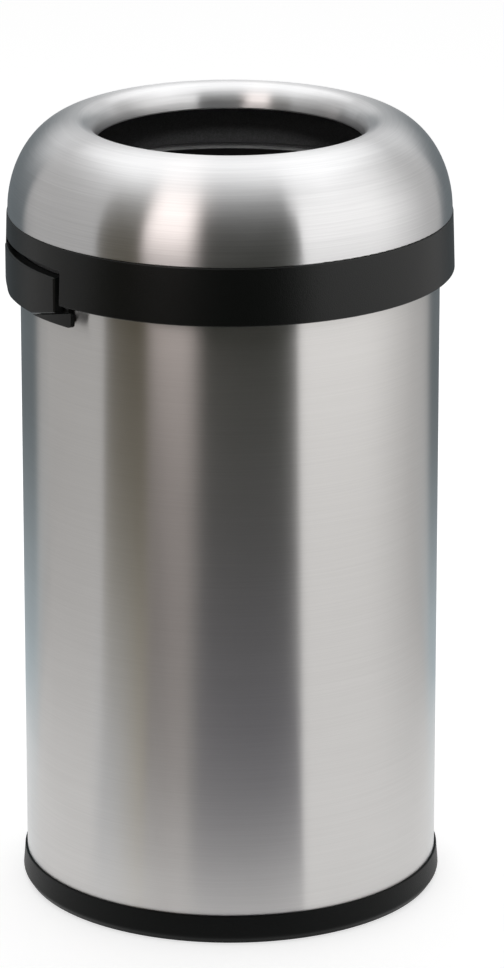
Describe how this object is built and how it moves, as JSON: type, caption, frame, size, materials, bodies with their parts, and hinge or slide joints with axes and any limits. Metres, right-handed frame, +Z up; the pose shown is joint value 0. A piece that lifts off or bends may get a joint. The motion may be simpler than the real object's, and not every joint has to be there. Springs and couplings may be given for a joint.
{
  "type": "open-top trash can",
  "caption": "Free-standing open-top trash can: brushed steel cylinder on a black base ring, with a hinged black collar that carries a steel dome with a round mouth.",
  "frame": {"origin": "on the floor under the can's centre", "axes": "+Z up along the can's axis; the lid's hinge is on the -X side with its axis along Y"},
  "size_m": [0.428, 0.428, 0.76],
  "materials": {
    "brushed_steel": "fine brushing around the axis, satin",
    "black_plastic": "fine moulded grain, satin black",
    "inner_plastic": "plain matt black moulding",
    "rubber": "matt black rubber",
    "galvanised_steel": "dull galvanised sheet",
    "zinc_steel": "bright zinc plating",
    "nylon": "natural nylon"
  },
  "bodies": {
    "can": {"body_shell": "brushed_steel", "base_ring": "black_plastic", "base_floor": "galvanised_steel", "base_screws": "zinc_steel", "rubber_feet": "rubber", "body_collar": "inner_plastic", "collar_rivets": "zinc_steel", "hinge_saddle": "black_plastic", "hinge_block": "black_plastic", "hinge_backing_plate": "galvanised_steel", "hinge_screws": "zinc_steel", "hinge_pins": "zinc_steel", "hinge_washers": "nylon"},
    "lid": {"lid_collar": "black_plastic", "lid_dome": "brushed_steel", "lid_liner": "inner_plastic", "lid_clamp_ring": "inner_plastic", "lid_screws": "zinc_steel", "lid_bumpers": "rubber", "hinge_bushes": "nylon"},
    "bag_ring": {"liner_ring": "inner_plastic"}
  },
  "joints": [
    {"name": "lid_hinge", "type": "hinge", "parent": "can", "child": "lid", "pos_m": [-0.19301, 0, 0.62], "axis": [0, -1, 0], "range_deg": [0, 100]},
    {"name": "ring_lift", "type": "slide", "parent": "can", "child": "bag_ring", "axis": [0, 0, 1], "range_m": [0, 0.03]}
  ]
}
